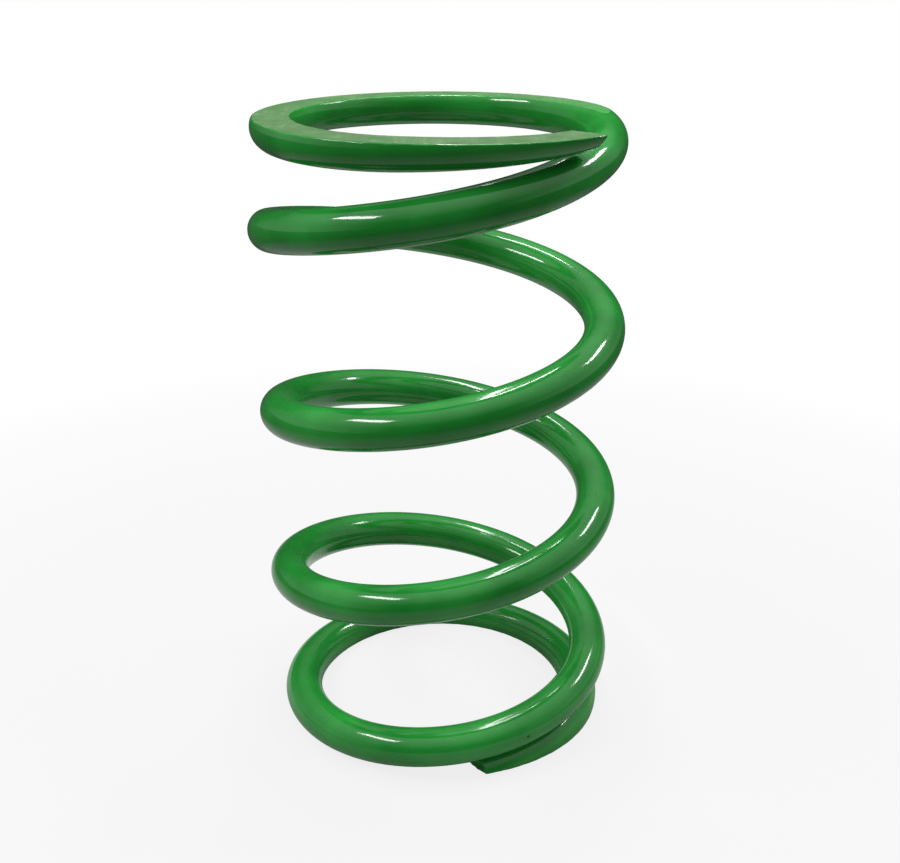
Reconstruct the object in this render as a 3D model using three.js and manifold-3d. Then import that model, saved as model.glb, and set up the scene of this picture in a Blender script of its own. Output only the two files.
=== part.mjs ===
// A right-hand compression coil spring with closed and ground ends, in millimetres, +Z up.
// The origin is on the spring's axis, in the plane of the lower ground face.
//
// The real spring is one round wire. It is divided here by upright radial planes into the two
// end coils, which never open or close, and the short arcs of the active coils between them.
// Each arc is carried down by its own share of the spring's travel, so the coils close evenly.

import * as THREE from 'three';
import { mergeVertices } from 'three/addons/utils/BufferGeometryUtils.js';
import Module from 'manifold-3d';

// Driving dimensions
const OUTER_DIAMETER = 139.7;
const FREE_HEIGHT = 241.3;
const WIRE_DIAMETER = 15.24;

// Places along the wire are angles round the axis, in degrees, counted upwards from +X.
const LOWER_TIP = -74;
const UPPER_TIP = 1758;
const ACTIVE_START = 300;
const ACTIVE_END = 1380;
const ARC_ANGLE = 30;

// A blend starts at a distance from the tip and runs for a length, both in degrees.
// The closed ends rise by this much in a turn, and each opens out over a blend.
const CLOSED_PITCH = 3;
const LOWER_OPENING = { start: 175, length: 290 };
const UPPER_OPENING = { start: 245, length: 135 };

// Close to each tip the wire is steeper, and dips out of the ground plane until grinding
// leaves only this thickness of it.
const TIP_EXTRA_PITCH = 35;
const TIP_LEVELLING = { start: 0, length: 95 };
const TIP_THICKNESS = 5.2;

// The closed ends are wound tighter. The lower tip is bent further in, the upper one out.
const END_DRAW_IN = 3;
const END_WIDENING = { start: 330, length: 100 };
const LOWER_TIP_BEND = -3;
const UPPER_TIP_BEND = 6;
const TIP_STRAIGHTENING = { start: 0, length: 60 };

// The lower tip is cut off aslant, so that its inner side reaches this much further.
const LOWER_CUT_REACH = 7;

// Clearance between two neighbouring arcs, measured along the wire
const CUT_GAP = 0.3;

// Facets
const WIRE_SIDES = 12;
const STEP_ANGLE = 10;

const FULL_TURN = 360;
const WIRE_RADIUS = WIRE_DIAMETER / 2;
const COIL_RADIUS = (OUTER_DIAMETER - WIRE_DIAMETER) / 2;
const TIP_CENTRE_DEPTH = WIRE_RADIUS - TIP_THICKNESS;
const TOTAL_ANGLE = UPPER_TIP - LOWER_TIP;
const CUT_GAP_ANGLE = THREE.MathUtils.radToDeg(CUT_GAP / COIL_RADIUS);

const POWDER_COAT = new THREE.MeshStandardMaterial({
  name: 'powder_coat',
  color: 0x1f8a2f,
  roughness: 0.22,
  metalness: 0,
});

// How far a blend has gone at this distance from its tip: from 0 at its start to 1 at its end
function blend(fromTip, { start, length }) {
  return THREE.MathUtils.smoothstep(fromTip, start, start + length);
}

// The integral of blend() from the tip to this distance
function blendArea(fromTip, { start, length }) {
  const past = Math.max(fromTip - start, 0);
  const share = Math.min(past / length, 1);
  return length * (share ** 3 - share ** 4 / 2) + Math.max(past - length, 0);
}

const fromLowerTip = (angle) => angle - LOWER_TIP;
const fromUpperTip = (angle) => UPPER_TIP - angle;

// The sum of one blend from each tip. No two blends overlap, so that one of them is always 1.
function bothBlends(angle, lower, upper) {
  return blend(fromLowerTip(angle), lower) + blend(fromUpperTip(angle), upper);
}

// The integral of bothBlends() from the lower tip to this angle
function bothBlendAreas(angle, lower, upper) {
  const upperArea = blendArea(TOTAL_ANGLE, upper) - blendArea(fromUpperTip(angle), upper);
  return blendArea(fromLowerTip(angle), lower) + upperArea;
}

// How open the coils are, from 0 at the closed ends to 1, and the turns of open coil below
const openness = (angle) => bothBlends(angle, LOWER_OPENING, UPPER_OPENING) - 1;

function openTurnsBelow(angle) {
  const area = bothBlendAreas(angle, LOWER_OPENING, UPPER_OPENING);
  return (area - fromLowerTip(angle)) / FULL_TURN;
}

// How much of the tips' steepness there is, from 1 at each tip to 0, and the turns of it below
const tipSteepness = (angle) => 2 - bothBlends(angle, TIP_LEVELLING, TIP_LEVELLING);

function steepTurnsBelow(angle) {
  const area = bothBlendAreas(angle, TIP_LEVELLING, TIP_LEVELLING);
  return (2 * fromLowerTip(angle) - area) / FULL_TURN;
}

// The wire's centre without the open coils' extra rise, from the lower tip
function closedRise(angle) {
  const turns = fromLowerTip(angle) / FULL_TURN;
  return CLOSED_PITCH * turns + TIP_EXTRA_PITCH * steepTurnsBelow(angle);
}

// The open coils rise faster than the closed ones by whatever makes up the free height.
const EXTRA_PITCH =
  (FREE_HEIGHT + 2 * TIP_CENTRE_DEPTH - closedRise(UPPER_TIP)) / openTurnsBelow(UPPER_TIP);

function centreHeight(angle) {
  return closedRise(angle) + EXTRA_PITCH * openTurnsBelow(angle) - TIP_CENTRE_DEPTH;
}

function coilRadius(angle) {
  const drawnIn = END_DRAW_IN * (2 - bothBlends(angle, END_WIDENING, END_WIDENING));
  const lowerBend = LOWER_TIP_BEND * (1 - blend(fromLowerTip(angle), TIP_STRAIGHTENING));
  const upperBend = UPPER_TIP_BEND * (1 - blend(fromUpperTip(angle), TIP_STRAIGHTENING));
  return COIL_RADIUS - drawnIn + lowerBend + upperBend;
}

// Half the height of the wire's section in an upright radial plane, which cuts it aslant
function sectionHalfHeight(angle) {
  const steepness = EXTRA_PITCH * openness(angle) + TIP_EXTRA_PITCH * tipSteepness(angle);
  const slope = (CLOSED_PITCH + steepness) / (2 * Math.PI * coilRadius(angle));
  return WIRE_RADIUS / Math.cos(Math.atan(slope));
}

// A cylinder along Y, wound round the axis from one angle to the other. Its sections stay
// in upright radial planes, so that two neighbouring arcs slide past each other along Z.
// Only the first section can be slanted, by letting its inner side reach further back.
function wireBetween(startAngle, endAngle, innerReach = 0) {
  const steps = Math.ceil((endAngle - startAngle) / STEP_ANGLE);
  const geometry = new THREE.CylinderGeometry(1, 1, 1, WIRE_SIDES, steps);
  const position = geometry.getAttribute('position');
  for (let i = 0; i < position.count; i += 1) {
    const across = position.getX(i);
    const along = position.getY(i) + 0.5;
    const reach = along === 0 ? (innerReach * (1 - across)) / 2 : 0;
    const angle = THREE.MathUtils.lerp(startAngle, endAngle, along) - reach;
    const turn = THREE.MathUtils.degToRad(angle);
    const radius = coilRadius(angle) + WIRE_RADIUS * across;
    const height = centreHeight(angle) + sectionHalfHeight(angle) * position.getZ(i);
    position.setXYZ(i, radius * Math.cos(turn), radius * Math.sin(turn), height);
  }
  geometry.deleteAttribute('normal');
  geometry.deleteAttribute('uv');
  return mergeVertices(geometry);
}

const wasm = await Module();
wasm.setup();

function toSolid(geometry) {
  return new wasm.Manifold(
    new wasm.Mesh({
      numProp: 3,
      vertProperties: new Float32Array(geometry.getAttribute('position').array),
      triVerts: new Uint32Array(geometry.index.array),
    }),
  );
}

function toGeometry(solid) {
  const mesh = solid.getMesh();
  const geometry = new THREE.BufferGeometry();
  geometry.setAttribute('position', new THREE.BufferAttribute(mesh.vertProperties, 3));
  geometry.setIndex(new THREE.BufferAttribute(mesh.triVerts, 1));
  return geometry;
}

// The slab between the two ground faces
function betweenGroundFaces() {
  const slab = new THREE.BoxGeometry(2 * OUTER_DIAMETER, 2 * OUTER_DIAMETER, FREE_HEIGHT);
  slab.translate(0, 0, FREE_HEIGHT / 2);
  slab.deleteAttribute('normal');
  slab.deleteAttribute('uv');
  return toSolid(mergeVertices(slab));
}

function wireMesh(name, geometry) {
  const mesh = new THREE.Mesh(geometry, POWDER_COAT);
  mesh.name = name;
  return mesh;
}

function endCoil(name, startAngle, endAngle, innerReach) {
  const wire = toSolid(wireBetween(startAngle, endAngle, innerReach));
  return wireMesh(name, toGeometry(wire.intersect(betweenGroundFaces())));
}

// The arcs of the active coils, named by the coil that they belong to and counted along it
function activeArcs() {
  const arcs = new THREE.Group();
  const arcsPerCoil = FULL_TURN / ARC_ANGLE;
  const count = (ACTIVE_END - ACTIVE_START) / ARC_ANGLE;
  for (let i = 0; i < count; i += 1) {
    const coil = Math.floor(i / arcsPerCoil) + 1;
    const place = String((i % arcsPerCoil) + 1).padStart(2, '0');
    const start = ACTIVE_START + i * ARC_ANGLE;
    const geometry = wireBetween(
      start + CUT_GAP_ANGLE / 2,
      start + ARC_ANGLE - CUT_GAP_ANGLE / 2,
    );
    arcs.add(wireMesh(`active_coil_${coil}_arc_${place}`, geometry));
  }
  return arcs;
}

const spring = new THREE.Group();
spring.name = 'coil_spring';
spring.add(
  endCoil('lower_end_coil', LOWER_TIP, ACTIVE_START - CUT_GAP_ANGLE / 2, LOWER_CUT_REACH),
  activeArcs(),
  endCoil('upper_end_coil', ACTIVE_END + CUT_GAP_ANGLE / 2, UPPER_TIP),
);

export default spring;
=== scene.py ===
"""The looks of a coil spring: one round wire with closed and ground ends, in gloss green powder
coat, on a pale floor.

Lengths are in metres. Angles round the spring's axis are in degrees, and angles round the wire's
own section are in radians.
"""

import math

import bpy
import numpy as np
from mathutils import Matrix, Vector


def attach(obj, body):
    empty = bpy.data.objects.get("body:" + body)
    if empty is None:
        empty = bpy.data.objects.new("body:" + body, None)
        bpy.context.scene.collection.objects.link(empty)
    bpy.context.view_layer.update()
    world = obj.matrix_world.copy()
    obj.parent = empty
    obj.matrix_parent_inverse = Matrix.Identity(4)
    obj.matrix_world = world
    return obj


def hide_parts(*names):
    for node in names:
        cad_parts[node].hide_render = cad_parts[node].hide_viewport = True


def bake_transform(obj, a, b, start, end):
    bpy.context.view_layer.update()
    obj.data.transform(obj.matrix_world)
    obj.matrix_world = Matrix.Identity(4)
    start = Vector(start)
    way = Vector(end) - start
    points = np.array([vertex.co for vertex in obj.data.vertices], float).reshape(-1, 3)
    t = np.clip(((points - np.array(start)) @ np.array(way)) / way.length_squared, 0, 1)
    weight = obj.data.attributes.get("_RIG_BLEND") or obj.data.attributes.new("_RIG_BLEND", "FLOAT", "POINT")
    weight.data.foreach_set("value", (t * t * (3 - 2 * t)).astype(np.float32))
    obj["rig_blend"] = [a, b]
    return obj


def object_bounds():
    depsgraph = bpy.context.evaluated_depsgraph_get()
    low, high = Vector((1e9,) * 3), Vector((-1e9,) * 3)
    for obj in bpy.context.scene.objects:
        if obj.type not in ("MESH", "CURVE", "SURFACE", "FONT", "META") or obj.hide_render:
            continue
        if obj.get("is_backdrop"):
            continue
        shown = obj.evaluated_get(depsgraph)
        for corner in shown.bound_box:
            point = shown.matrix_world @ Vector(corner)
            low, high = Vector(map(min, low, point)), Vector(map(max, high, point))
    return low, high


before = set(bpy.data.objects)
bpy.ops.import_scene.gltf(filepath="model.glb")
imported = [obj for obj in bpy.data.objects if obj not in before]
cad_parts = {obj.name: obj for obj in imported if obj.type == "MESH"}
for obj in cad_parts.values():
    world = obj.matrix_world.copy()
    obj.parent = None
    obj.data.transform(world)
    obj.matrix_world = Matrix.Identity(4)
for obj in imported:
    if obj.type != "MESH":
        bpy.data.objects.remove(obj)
CAD_LOW, CAD_HIGH = (list(corner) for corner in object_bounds())

# The spring, as the CAD model has it. A place along the wire is an angle round the axis. A blend
# starts at a distance from its tip and runs for a length, both of them such angles.
OUTER_DIAMETER = CAD_HIGH[0] - CAD_LOW[0]
FREE_HEIGHT = CAD_HIGH[2] - CAD_LOW[2]
WIRE_DIAMETER = 0.01524
LOWER_TIP, UPPER_TIP = -74.0, 1758.0
ACTIVE_START, ACTIVE_END = 300.0, 1380.0
ARC_ANGLE = 30.0
CLOSED_PITCH = 0.003
LOWER_OPENING, UPPER_OPENING = (175.0, 290.0), (245.0, 135.0)
TIP_EXTRA_PITCH = 0.035
TIP_LEVELLING = (0.0, 95.0)
TIP_THICKNESS = 0.0052
END_DRAW_IN = 0.003
END_WIDENING = (330.0, 100.0)
LOWER_TIP_BEND, UPPER_TIP_BEND = -0.003, 0.006
TIP_STRAIGHTENING = (0.0, 60.0)
LOWER_CUT_REACH = 7.0

FULL_TURN = 360.0
WIRE_RADIUS = WIRE_DIAMETER / 2
COIL_RADIUS = (OUTER_DIAMETER - WIRE_DIAMETER) / 2
TIP_CENTRE_DEPTH = WIRE_RADIUS - TIP_THICKNESS
TOTAL_ANGLE = UPPER_TIP - LOWER_TIP

LOWER_BODY, UPPER_BODY = "lower_end_coil", "upper_end_coil"

# How finely the wire is drawn: sides of the round, the flat and the rounding between them,
# degrees from ring to ring, and rings in the rounding of a tip
ROUND_SIDES = 56
ARC_STEP = 2.5
END_STEP = 0.75
FLAT_SIDES = 8
EDGE_SIDES = 3
TIP_RINGS = 5

# The rounding that the coat leaves along a ground edge, how uneven it is, and the largest share
# of the flat's half-width that it takes. Each of the waves is a rate, a phase and a size.
EDGE_ROUNDING = 0.00045
EDGE_UNEVENNESS = 0.40
EDGE_SHARE = 0.3
EDGE_WAVES = ((41, 0.3, 0.5), (97, 1.9, 0.3), (233, 4.4, 0.35))

# The rounding round the cut at a tip, how ragged the cut is, and how far back its shape reaches
TIP_ROUNDING = 0.0005
TIP_RING_PLACES = np.linspace(0, math.pi / 2, TIP_RINGS)
CUT_RAGGEDNESS = 0.6
CUT_WAVES = ((5.0, 0.4, 0.6), (13.0, 2.0, 0.4))
CUT_FAN = 10.0

# A flat ends at its corners with the round. This is the highest place round the section of a
# corner, where the flat is almost gone.
HIGHEST_CORNER = math.radians(88)

# The ground finish fades in until this share of the wire's radius has been ground away. How far
# it has faded in is kept in a point attribute. A face is flat if it is level this closely.
FULLY_GROUND = 0.60
GROUND_SHARE = "ground_share"
LEVEL_TOLERANCE = 1e-6

TRAVEL_SHARE = "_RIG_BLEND"


# ---- The wire's path -------------------------------------------------------------------------


def blend(from_tip, stretch):
    """How far a blend has gone at this distance from its tip, from 0 to 1."""
    start, length = stretch
    share = np.clip((from_tip - start) / length, 0, 1)
    return share * share * (3 - 2 * share)


def blend_area(from_tip, stretch):
    """The integral of blend from the tip to this distance."""
    start, length = stretch
    past = np.maximum(from_tip - start, 0)
    share = np.minimum(past / length, 1)
    return length * (share**3 - share**4 / 2) + np.maximum(past - length, 0)


def both_blends(angle, lower, upper):
    """The sum of one blend from each tip. They never overlap, so one of them is always 1."""
    return blend(angle - LOWER_TIP, lower) + blend(UPPER_TIP - angle, upper)


def both_blend_areas(angle, lower, upper):
    """The integral of both_blends from the lower tip to this angle."""
    upper_area = blend_area(TOTAL_ANGLE, upper) - blend_area(UPPER_TIP - angle, upper)
    return blend_area(angle - LOWER_TIP, lower) + upper_area


def open_turns_below(angle):
    """The turns of fully open coil that the wire below this angle amounts to."""
    area = both_blend_areas(angle, LOWER_OPENING, UPPER_OPENING)
    return (area - (angle - LOWER_TIP)) / FULL_TURN


def closed_rise(angle):
    """The wire's rise from the lower tip, without the open coils' extra rise."""
    past = angle - LOWER_TIP
    steep_turns = (2 * past - both_blend_areas(angle, TIP_LEVELLING, TIP_LEVELLING)) / FULL_TURN
    return CLOSED_PITCH * past / FULL_TURN + TIP_EXTRA_PITCH * steep_turns


CENTRE_RISE = FREE_HEIGHT + 2 * TIP_CENTRE_DEPTH
EXTRA_PITCH = (CENTRE_RISE - closed_rise(UPPER_TIP)) / open_turns_below(UPPER_TIP)


def centre_height(angle):
    return closed_rise(angle) + EXTRA_PITCH * open_turns_below(angle) - TIP_CENTRE_DEPTH


def coil_radius(angle):
    drawn_in = END_DRAW_IN * (2 - both_blends(angle, END_WIDENING, END_WIDENING))
    lower_bend = LOWER_TIP_BEND * (1 - blend(angle - LOWER_TIP, TIP_STRAIGHTENING))
    upper_bend = UPPER_TIP_BEND * (1 - blend(UPPER_TIP - angle, TIP_STRAIGHTENING))
    return COIL_RADIUS - drawn_in + lower_bend + upper_bend


def section_half_height(angle):
    """Half the height of the wire's section in an upright radial plane."""
    openness = both_blends(angle, LOWER_OPENING, UPPER_OPENING) - 1
    tip_steepness = 2 - both_blends(angle, TIP_LEVELLING, TIP_LEVELLING)
    pitch = CLOSED_PITCH + EXTRA_PITCH * openness + TIP_EXTRA_PITCH * tip_steepness
    slope = pitch / (2 * math.pi * coil_radius(angle))
    return WIRE_RADIUS * np.sqrt(1 + slope * slope)


def travel_share(angle):
    """The share of the upper end's travel that this place on the wire makes."""
    bottom, top = open_turns_below(ACTIVE_START), open_turns_below(ACTIVE_END)
    return np.clip((open_turns_below(angle) - bottom) / (top - bottom), 0, 1)


# ---- The wire's section ----------------------------------------------------------------------


def round_section(angles):
    """Points of the full round section, the same at every angle, as radial and upright parts."""
    around = np.linspace(0, 2 * math.pi, ROUND_SIDES, endpoint=False)
    shape = (len(angles), ROUND_SIDES)
    return np.broadcast_to(np.cos(around), shape), np.broadcast_to(np.sin(around), shape)


def waves(position, terms):
    return sum(size * np.sin(rate * position + phase) for rate, phase, size in terms)


def edge_rounding(angles, corner):
    """How far the rounding of a ground edge reaches, in wire radii, at each angle."""
    uneven = 1 + EDGE_UNEVENNESS * waves(np.radians(angles), EDGE_WAVES)
    return np.minimum(EDGE_ROUNDING / WIRE_RADIUS * uneven, EDGE_SHARE * np.cos(corner))


def on_round(place):
    return np.cos(place), np.sin(place)


def on_flat(radial, level):
    """The point of the flat at this level, or of the round where that is lower."""
    return radial, np.minimum(level, np.sqrt(np.maximum(1 - radial * radial, 0)))


def over_edge(first, corner, last):
    """Points of a quadratic curve that rounds the corner, without its two ends."""
    return [
        tuple(
            (1 - t) ** 2 * a + 2 * t * (1 - t) * b + t * t * c
            for a, b, c in zip(first, corner, last)
        )
        for t in np.linspace(0, 1, EDGE_SIDES + 1)[1:-1]
    ]


def ground_section(angles, plane_height):
    """Points of a section that is cut off level at plane_height, in half-heights above its centre.

    They run from the outer ground edge under the wire to the inner one, and back over the flat.
    """
    level = np.minimum(plane_height, 1)
    corner = np.minimum(np.arcsin(level), HIGHEST_CORNER)
    rounding = edge_rounding(angles, corner)
    round_start = corner - rounding
    round_end = -math.pi - corner + rounding
    flat_half = np.cos(corner) - rounding
    points = [
        on_round(round_start + (round_end - round_start) * t)
        for t in np.linspace(0, 1, ROUND_SIDES + 1)
    ]
    flat = [on_flat(flat_half * x, level) for x in np.linspace(-1, 1, FLAT_SIDES + 1)]
    inner_edge = over_edge(points[-1], on_round(-math.pi - corner), flat[0])
    outer_edge = over_edge(flat[-1], on_round(corner), points[0])
    points += inner_edge + flat + outer_edge
    radial, upright = zip(*points)
    return np.stack(radial, axis=1), np.stack(upright, axis=1)


def upper_plane(angles):
    """How far the upper ground plane is above the wire's centre, in half-heights of its section."""
    return (FREE_HEIGHT - centre_height(angles)) / section_half_height(angles)


def lower_plane(angles):
    """How far the lower ground plane is below the wire's centre, in half-heights of its section."""
    return centre_height(angles) / section_half_height(angles)


def upper_ground_section(angles):
    radial, upright = ground_section(angles, upper_plane(angles))
    return radial[:, ::-1], upright[:, ::-1]


def lower_ground_section(angles):
    radial, upright = ground_section(angles, lower_plane(angles))
    return radial, -upright


# ---- Building a length of wire ---------------------------------------------------------------


def cut_reach(angles, radial):
    """How far each point of a section is moved up the wire by the way its tip was cut."""
    past_lower, past_upper = angles[:, None] - LOWER_TIP, UPPER_TIP - angles[:, None]
    upper = CUT_RAGGEDNESS * waves(radial, CUT_WAVES)
    lower = LOWER_CUT_REACH * (1 - radial) / 2 + upper
    near_lower = np.clip(1 - past_lower / CUT_FAN, 0, 1)
    near_upper = np.clip(1 - past_upper / CUT_FAN, 0, 1)
    return near_upper * upper - near_lower * lower


def wire_points(angles, section):
    """One ring of points at each angle. Their heights keep to the ring's angle, so that a flat
    stays flat where the cut moves its points along the wire."""
    radial, upright = section(angles)
    point_angles = angles[:, None] + cut_reach(angles, radial)
    radius = coil_radius(point_angles) + WIRE_RADIUS * radial
    turn = np.radians(point_angles)
    height = centre_height(angles)[:, None] + section_half_height(angles)[:, None] * upright
    return np.stack([radius * np.cos(turn), radius * np.sin(turn), height], axis=2)


def end_angles(start, end):
    """Ring angles of an end coil, close together in the rounding of the tip that it holds."""
    count = round((end - start) / END_STEP) + 1
    rounding = np.degrees(TIP_ROUNDING / COIL_RADIUS)
    from_tip = rounding * (1 - np.cos(TIP_RING_PLACES[:-1]))
    if start == LOWER_TIP:
        return np.concatenate([start + from_tip, np.linspace(start + rounding, end, count)])
    return np.concatenate([np.linspace(start, end - rounding, count), (end - from_tip)[::-1]])


def round_tip(points):
    """Draws in the first rings of an end coil, counted from its cut face, to round its rim."""
    insets = TIP_ROUNDING * (1 - np.sin(TIP_RING_PLACES))
    for ring, inset in zip(points, insets):
        inward = ring.mean(axis=0) - ring
        ring += inward / np.linalg.norm(inward, axis=1, keepdims=True) * inset


def cap_ring(ring):
    """A ring halfway to the middle of a cut face, which only serves to measure its rim."""
    return (ring + ring.mean(axis=0)) / 2


def end_points(angles, section):
    """The rings of an end coil, and one more at each end that only serves to measure it."""
    before, after = 2 * angles[0] - angles[1], 2 * angles[-1] - angles[-2]
    points = wire_points(np.concatenate([[before], angles, [after]]), section)
    if angles[0] == LOWER_TIP:
        round_tip(points[1:])
        points[0] = cap_ring(points[1])
    else:
        round_tip(points[-2::-1])
        points[-1] = cap_ring(points[-2])
    return points


def arc_points(angles):
    """The rings of an arc, and one more at each end that only serves to measure it."""
    spacing = angles[1] - angles[0]
    measured = np.concatenate([[angles[0] - spacing], angles, [angles[-1] + spacing]])
    return wire_points(measured, round_section)


def surface_normals(points):
    """Unit outward normals of all rings but the first and the last."""
    around = np.roll(points, -1, axis=1) - np.roll(points, 1, axis=1)
    along = points[2:] - points[:-2]
    normals = np.cross(along, around[1:-1])
    return normals / np.linalg.norm(normals, axis=2, keepdims=True)


def wire_mesh(name, points):
    """A closed length of the wire, with normals that carry on smoothly into the next length.

    The first and the last ring of points only serve to measure it and aren't drawn. Every ring
    turns from the outer side over the top to the inner side.
    """
    normals = surface_normals(points)
    rings, sides = normals.shape[:2]
    corners = [
        (ring * sides + side, (side + 1) % sides + ring * sides)
        for ring in range(rings - 1)
        for side in range(sides)
    ]
    faces = [(a + sides, b + sides, b, a) for a, b in corners]
    first_cap = list(range(sides))
    last_cap = [(rings - 1) * sides + side for side in reversed(range(sides))]

    mesh = bpy.data.meshes.new(name)
    mesh.from_pydata(points[1:-1].reshape(-1, 3).tolist(), [], faces + [first_cap, last_cap])
    mesh.polygons.foreach_set("use_smooth", [True] * (len(faces) + 2))
    corner_normals = normals.reshape(-1, 3)[[corner for face in faces for corner in face]].tolist()
    for cap in mesh.polygons[-2:]:
        corner_normals += [tuple(cap.normal)] * sides
    mesh.normals_split_custom_set(corner_normals)
    return mesh


def add_piece(name, mesh, materials):
    piece = bpy.data.objects.new(name, mesh)
    bpy.context.scene.collection.objects.link(piece)
    for material in materials:
        mesh.materials.append(material)
    return piece


# ---- Materials -------------------------------------------------------------------------------


class Nodes:
    """Adds nodes to a node tree and joins them."""

    def __init__(self, tree):
        self.tree = tree

    def add(self, kind, inputs=None, **settings):
        node = self.tree.nodes.new(kind)
        for key, value in settings.items():
            setattr(node, key, value)
        for key, value in (inputs or {}).items():
            self.feed(node, key, value)
        return node

    def feed(self, node, key, value):
        if isinstance(value, bpy.types.NodeSocket):
            self.tree.links.new(value, node.inputs[key])
        else:
            node.inputs[key].default_value = value

    def noise(self, place, scale, detail=2.0, roughness=0.5):
        inputs = {"Vector": place, "Scale": scale, "Detail": detail, "Roughness": roughness}
        return self.add("ShaderNodeTexNoise", inputs).outputs["Fac"]

    def spread(self, value, low, high, to_low=0.0, to_high=1.0):
        inputs = {0: value, 1: low, 2: high, 3: to_low, 4: to_high}
        return self.add("ShaderNodeMapRange", inputs).outputs[0]

    def calculate(self, operation, first, second):
        return self.add("ShaderNodeMath", {0: first, 1: second}, operation=operation).outputs[0]

    def mix(self, share, first, second):
        """Mixes two colours. Their sockets go by number, because others share their names."""
        node = self.add("ShaderNodeMix", data_type="RGBA")
        for index, value in ((0, share), (6, first), (7, second)):
            self.feed(node, index, value)
        return node.outputs[2]

    def bump(self, height, strength, distance, below=None):
        inputs = {"Height": height, "Strength": strength, "Distance": distance}
        if below is not None:
            inputs["Normal"] = below
        return self.add("ShaderNodeBump", inputs).outputs["Normal"]


class MaterialNodes(Nodes):
    """The nodes of a new material, with the Principled shader that it starts with."""

    def __init__(self, name):
        self.material = bpy.data.materials.new(name)
        self.material.use_nodes = True
        super().__init__(self.material.node_tree)
        self.shader = self.tree.nodes["Principled BSDF"]


WHITE = (1, 1, 1, 1)
DEEP_GREEN = (0.012, 0.220, 0.026, 1)
FULL_GREEN = (0.022, 0.310, 0.042, 1)
# The pits' dark green is painted shade, darker than the coat's own colour.
PIT_SHADE_GREEN = (0.004, 0.045, 0.008, 1)
NIB_GREEN = (0.040, 0.330, 0.065, 1)
# Painted sheen: the two pale greens of a ground face stand in for the light from above that its rougher coat
# catches; the paler one also marks the coat worn thin over scratches.
PALE_SHEEN_GREEN = (0.078, 0.195, 0.062, 1)
WORN_AND_SHEEN_GREEN = (0.160, 0.300, 0.120, 1)

# The values between which a noise fades in, and the roughness at each end of its fade
TONE_FADE = 0.35, 0.65
GLOSS_FADE = 0.3, 0.7
SCRATCH_FADE = 0.45, 0.75
WEAR_AND_SHEEN_FADE = 0.4, 0.7
COAT_ROUGHNESS = 0.085, 0.13
FACE_ROUGHNESS = 0.36, 0.50
COAT_IOR = 1.5

# How high or deep the coat's relief is
SWELL_DEPTH = 0.001
PEEL_DEPTH = 0.0003
NIB_HEIGHT = 0.0002
PIT_DEPTH = 0.0003
SCRATCH_DEPTH = 0.0002
MOTTLE_DEPTH = 0.0003

# Scratches to the metre along each axis, which makes them long along Y and Z
SCRATCH_SCALE = (900, 60, 60)

# The share of a spot's radius that has its full strength, and how sharply spots are chosen
SPOT_CORE = 0.5
SPOT_CHOICE = 0.01


def specks(nodes, place, scale, share, size):
    """Small round spots, in this share of the cells of a cell pattern."""
    cells = nodes.add("ShaderNodeTexVoronoi", {"Vector": place, "Scale": scale})
    near = nodes.spread(cells.outputs["Distance"], size, SPOT_CORE * size)
    chosen = nodes.add("ShaderNodeSeparateColor", {"Color": cells.outputs["Color"]})
    kept = nodes.spread(chosen.outputs["Red"], share, share - SPOT_CHOICE)
    return nodes.calculate("MULTIPLY", near, kept)


def powder_coat():
    """Gloss powder coat: a slow swell, a faint orange peel, changes of tone, and nibs and pits. The pits are
    sunk by a bump and also darkened in colour, which is painted shade.
    """
    nodes = MaterialNodes("powder_coat")
    place = nodes.add("ShaderNodeTexCoord").outputs["Object"]
    tone = nodes.spread(nodes.noise(place, scale=38, detail=3), *TONE_FADE)
    nibs = specks(nodes, place, scale=95, share=0.08, size=0.07)
    pits = specks(nodes, place, scale=60, share=0.08, size=0.05)
    colour = nodes.mix(nibs, nodes.mix(tone, DEEP_GREEN, FULL_GREEN), NIB_GREEN)
    # Painted shade: the pits are darkened to a deep green, as shade inside them would make them look.
    nodes.feed(nodes.shader, "Base Color", nodes.mix(pits, colour, PIT_SHADE_GREEN))
    gloss = nodes.spread(nodes.noise(place, scale=210, detail=2), *GLOSS_FADE, *COAT_ROUGHNESS)
    nodes.feed(nodes.shader, "Roughness", gloss)
    swell_noise = nodes.noise(place, scale=85, detail=1)
    peel_noise = nodes.noise(place, scale=330, detail=1.5)
    swell = nodes.bump(swell_noise, strength=0.05, distance=SWELL_DEPTH)
    peeled = nodes.bump(peel_noise, strength=0.06, distance=PEEL_DEPTH, below=swell)
    raised = nodes.bump(nibs, strength=0.4, distance=NIB_HEIGHT, below=peeled)
    sunk = nodes.bump(pits, strength=-0.5, distance=PIT_DEPTH, below=raised)
    nodes.feed(nodes.shader, "Normal", sunk)
    nodes.shader.inputs["IOR"].default_value = COAT_IOR
    return nodes.material


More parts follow.
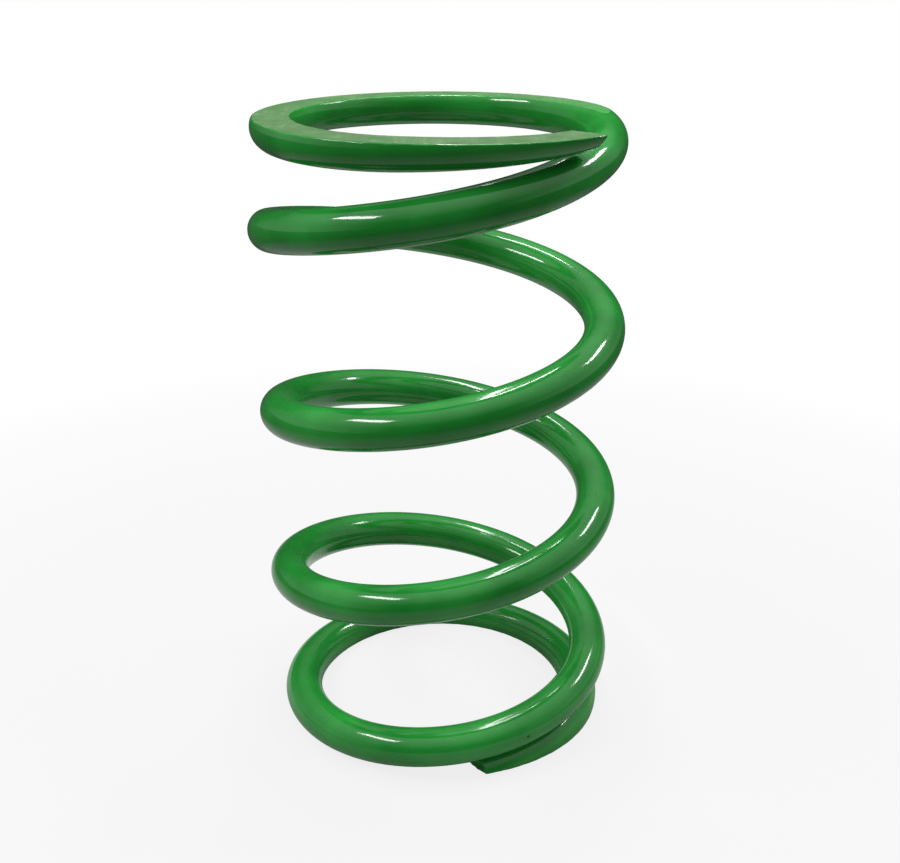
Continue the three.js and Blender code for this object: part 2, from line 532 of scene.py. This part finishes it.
def ground_coat():
    """The coat on a ground face, thinner and duller over the scratches that grinding leaves. The whole face
    is painted paler, a painted sheen of the light from above, and paler still over the scratches, which is
    partly wear of the thin coat and partly painted sheen.
    """
    nodes = MaterialNodes("powder_coat_on_ground_face")
    place = nodes.add("ShaderNodeTexCoord").outputs["Object"]
    stretched = nodes.add("ShaderNodeMapping", {"Vector": place, "Scale": SCRATCH_SCALE})
    scratches = nodes.noise(stretched.outputs["Vector"], scale=1.0, detail=3, roughness=0.6)
    mottle = nodes.noise(place, scale=160, detail=3)
    scratched = nodes.spread(scratches, *SCRATCH_FADE)
    wear_and_sheen = nodes.calculate("MULTIPLY", scratched, nodes.spread(mottle, *WEAR_AND_SHEEN_FADE))
    ground = nodes.add("ShaderNodeAttribute", attribute_name=GROUND_SHARE).outputs["Fac"]
    # Painted sheen: the ground face takes the pale greens, paler still where the scratch and mottle mask is
    # high, which is partly wear and partly painted sheen.
    colour = nodes.mix(ground, FULL_GREEN, nodes.mix(wear_and_sheen, PALE_SHEEN_GREEN, WORN_AND_SHEEN_GREEN))
    pits = specks(nodes, place, scale=150, share=0.10, size=0.12)
    # Painted shade: the pits on the ground face are darkened to the deep green.
    nodes.feed(nodes.shader, "Base Color", nodes.mix(pits, colour, DEEP_GREEN))
    roughness = nodes.spread(mottle, *GLOSS_FADE, *FACE_ROUGHNESS)
    nodes.feed(nodes.shader, "Roughness", roughness)
    lines = nodes.bump(scratches, strength=0.25, distance=SCRATCH_DEPTH)
    mottled = nodes.bump(mottle, strength=0.15, distance=MOTTLE_DEPTH, below=lines)
    nodes.feed(nodes.shader, "Normal", mottled)
    return nodes.material


# ---- The spring ------------------------------------------------------------------------------


def add_active_coils(coat):
    """One piece for each CAD arc. Every point of it makes its own share of the travel."""
    lower_end = (0, 0, float(centre_height(ACTIVE_START)))
    upper_end = (0, 0, float(centre_height(ACTIVE_END)))
    steps = round(ARC_ANGLE / ARC_STEP)
    nodes = sorted(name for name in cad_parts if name.startswith("active_coil_"))
    for index, node in enumerate(nodes):
        start = ACTIVE_START + index * ARC_ANGLE
        angles = np.linspace(start, start + ARC_ANGLE, steps + 1)
        name = node.replace("active_coil", "coil")
        piece = add_piece(name, wire_mesh(name, arc_points(angles)), [coat])
        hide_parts(node)
        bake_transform(piece, LOWER_BODY, UPPER_BODY, start=lower_end, end=upper_end)
        shares = np.repeat(travel_share(angles), ROUND_SIDES).astype(np.float32)
        piece.data.attributes[TRAVEL_SHARE].data.foreach_set("value", shares)


def mark_ground_face(mesh, level, ground_away):
    """Gives the faces at this level the second finish, and every ring how far that fades in."""
    fade = np.clip(ground_away / FULLY_GROUND, 0, 1).astype(np.float32)
    sides = len(mesh.vertices) // len(fade)
    attribute = mesh.attributes.new(GROUND_SHARE, "FLOAT", "POINT")
    attribute.data.foreach_set("value", np.repeat(fade, sides))
    for polygon in mesh.polygons:
        heights = [mesh.vertices[vertex].co.z for vertex in polygon.vertices]
        is_flat = all(abs(height - level) < LEVEL_TOLERANCE for height in heights)
        polygon.material_index = 1 if is_flat else 0


def add_riding_piece(name, node, mesh, finishes):
    """A piece that takes the place of a CAD node and moves as it does."""
    piece = add_piece(name, mesh, finishes)
    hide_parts(node)
    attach(piece, node)


def add_lower_end(finishes):
    angles = end_angles(LOWER_TIP, ACTIVE_START)
    mesh = wire_mesh("lower_end", end_points(angles, lower_ground_section))
    mark_ground_face(mesh, 0, 1 - lower_plane(angles))
    add_riding_piece("lower_end", LOWER_BODY, mesh, finishes)


def add_upper_end(finishes):
    angles = end_angles(ACTIVE_END, UPPER_TIP)
    mesh = wire_mesh("upper_end", end_points(angles, upper_ground_section))
    mark_ground_face(mesh, FREE_HEIGHT, 1 - upper_plane(angles))
    add_riding_piece("upper_end", UPPER_BODY, mesh, finishes)


# ---- Studio ----------------------------------------------------------------------------------

# The floor changes colour between two distances from the axis. To the camera, a share of it near
# the spring, and all of it far away, is plain white.
FLOOR_HALF_SIZE = 30.0
FLOOR_FADE = 0.08, 0.45
FLOOR_NEAR = (0.50, 0.50, 0.50, 1)
FLOOR_FAR = (0.06, 0.06, 0.06, 1)
FLOOR_PLAIN_SHARE = 0.82
FLOOR_ROUGHNESS = 0.9
FLOOR_SPECULAR = 0.1

# Light from above starts at this height of a unit direction and grows to the zenith. Light from
# the sides starts and ends at these squares of the direction's X.
DARK_BELOW = 0.35
HORIZON_STRENGTH, ZENITH_STRENGTH = 0.03, 1.20
SIDE_FADE = 0.3, 1.0
SIDE_STRENGTH = 0.60
BACKDROP_STRENGTH = 1.0

# Softboxes: name, place, width and height, and power in watts
SOFTBOXES = (
    ("softbox_left", (-0.54, -0.18, 0.75), (0.40, 0.085), 2.5),
    ("softbox_right", (0.60, 0.255, 0.67), (0.32, 0.075), 2.0),
    ("strip_overhead_0", (-0.01, 0.20, 0.75), (0.025, 0.45), 1.1),
    ("strip_overhead_1", (0.07, 0.20, 0.75), (0.025, 0.45), 1.1),
)
LOOK_HEIGHT = FREE_HEIGHT / 2

# The camera: metres, then degrees down and to the right, then a lens in millimetres and a shift
# in frame widths
CAMERA_DISTANCE = 0.4442
CAMERA_HEIGHT = 0.3004
CAMERA_DOWN = 24.94
CAMERA_PAN = 0.49
CAMERA_LENS = 48.4
CAMERA_SHIFT_UP = 0.0672
CAMERA_CLIP = 0.02


def add_camera():
    """The camera stands in front of the spring, close to it and above it."""
    camera = bpy.data.cameras.new("camera")
    camera.lens = CAMERA_LENS
    camera.sensor_fit = "HORIZONTAL"
    camera.shift_y = CAMERA_SHIFT_UP
    camera.clip_start = CAMERA_CLIP
    holder = bpy.data.objects.new("camera", camera)
    holder.location = (0, -CAMERA_DISTANCE, CAMERA_HEIGHT)
    holder.rotation_euler = (math.radians(90 - CAMERA_DOWN), 0, -math.radians(CAMERA_PAN))
    bpy.context.scene.collection.objects.link(holder)
    bpy.context.scene.camera = holder


def pale_floor():
    """A matt floor. What the camera sees of it is mostly plain white, with faint shadows."""
    nodes = MaterialNodes("pale_floor")
    nodes.shader.inputs["Roughness"].default_value = FLOOR_ROUGHNESS
    nodes.shader.inputs["Specular IOR Level"].default_value = FLOOR_SPECULAR
    place = nodes.add("ShaderNodeTexCoord").outputs["Object"]
    distance = nodes.add("ShaderNodeVectorMath", {0: place}, operation="LENGTH").outputs["Value"]
    paint = nodes.spread(distance, *FLOOR_FADE)
    nodes.feed(nodes.shader, "Base Color", nodes.mix(paint, FLOOR_NEAR, FLOOR_FAR))
    plainness = nodes.spread(distance, *FLOOR_FADE, FLOOR_PLAIN_SHARE, 1.0)
    seen = nodes.add("ShaderNodeLightPath").outputs["Is Camera Ray"]
    share = nodes.calculate("MULTIPLY", seen, plainness)
    plain = nodes.add("ShaderNodeEmission", {"Color": WHITE, "Strength": BACKDROP_STRENGTH})
    surfaces = {0: share, 1: nodes.shader.outputs[0], 2: plain.outputs[0]}
    either = nodes.add("ShaderNodeMixShader", surfaces)
    nodes.feed(nodes.tree.nodes["Material Output"], "Surface", either.outputs[0])
    return nodes.material


def add_floor():
    half = FLOOR_HALF_SIZE
    mesh = bpy.data.meshes.new("floor")
    corners = [(-half, -half, 0), (half, -half, 0), (half, half, 0), (-half, half, 0)]
    mesh.from_pydata(corners, [], [(0, 1, 2, 3)])
    mesh.materials.append(pale_floor())
    floor = bpy.data.objects.new("floor", mesh)
    bpy.context.scene.collection.objects.link(floor)
    floor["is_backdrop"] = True


def add_softbox(name, place, size, power):
    """A rectangular light that hangs here and faces the middle of the spring."""
    light = bpy.data.lights.new(name, "AREA")
    light.shape = "RECTANGLE"
    light.size, light.size_y = size
    light.energy = power
    holder = bpy.data.objects.new(name, light)
    holder.location = place
    backwards = Vector(place) - Vector((0, 0, LOOK_HEIGHT))
    holder.rotation_euler = backwards.to_track_quat("Z", "Y").to_euler()
    bpy.context.scene.collection.objects.link(holder)


def add_sky():
    """Soft light from above and from both sides, behind a plain white backdrop."""
    world = bpy.data.worlds.new("studio")
    bpy.context.scene.world = world
    world.use_nodes = True
    world.node_tree.nodes.clear()
    nodes = Nodes(world.node_tree)
    place = nodes.add("ShaderNodeTexCoord").outputs["Generated"]
    direction = nodes.add("ShaderNodeSeparateXYZ", {0: place}).outputs
    above = nodes.spread(direction["Z"], DARK_BELOW, 1.0, HORIZON_STRENGTH, ZENITH_STRENGTH)
    sideways = nodes.calculate("MULTIPLY", direction["X"], direction["X"])
    beside = nodes.spread(sideways, *SIDE_FADE, 0.0, SIDE_STRENGTH)
    strength = nodes.calculate("ADD", above, beside)
    sky = nodes.add("ShaderNodeBackground", {"Color": WHITE, "Strength": strength})
    backdrop = nodes.add("ShaderNodeBackground", {"Color": WHITE, "Strength": BACKDROP_STRENGTH})
    seen = nodes.add("ShaderNodeLightPath").outputs["Is Camera Ray"]
    surfaces = {0: seen, 1: sky.outputs[0], 2: backdrop.outputs[0]}
    either = nodes.add("ShaderNodeMixShader", surfaces)
    nodes.add("ShaderNodeOutputWorld", {"Surface": either.outputs[0]})


def add_studio():
    add_camera()
    add_floor()
    add_sky()
    for softbox in SOFTBOXES:
        add_softbox(*softbox)
    bpy.context.scene.view_settings.view_transform = "Standard"


def main():
    coat = powder_coat()
    finishes = [coat, ground_coat()]
    add_lower_end(finishes)
    add_active_coils(coat)
    add_upper_end(finishes)
    add_studio()


main()
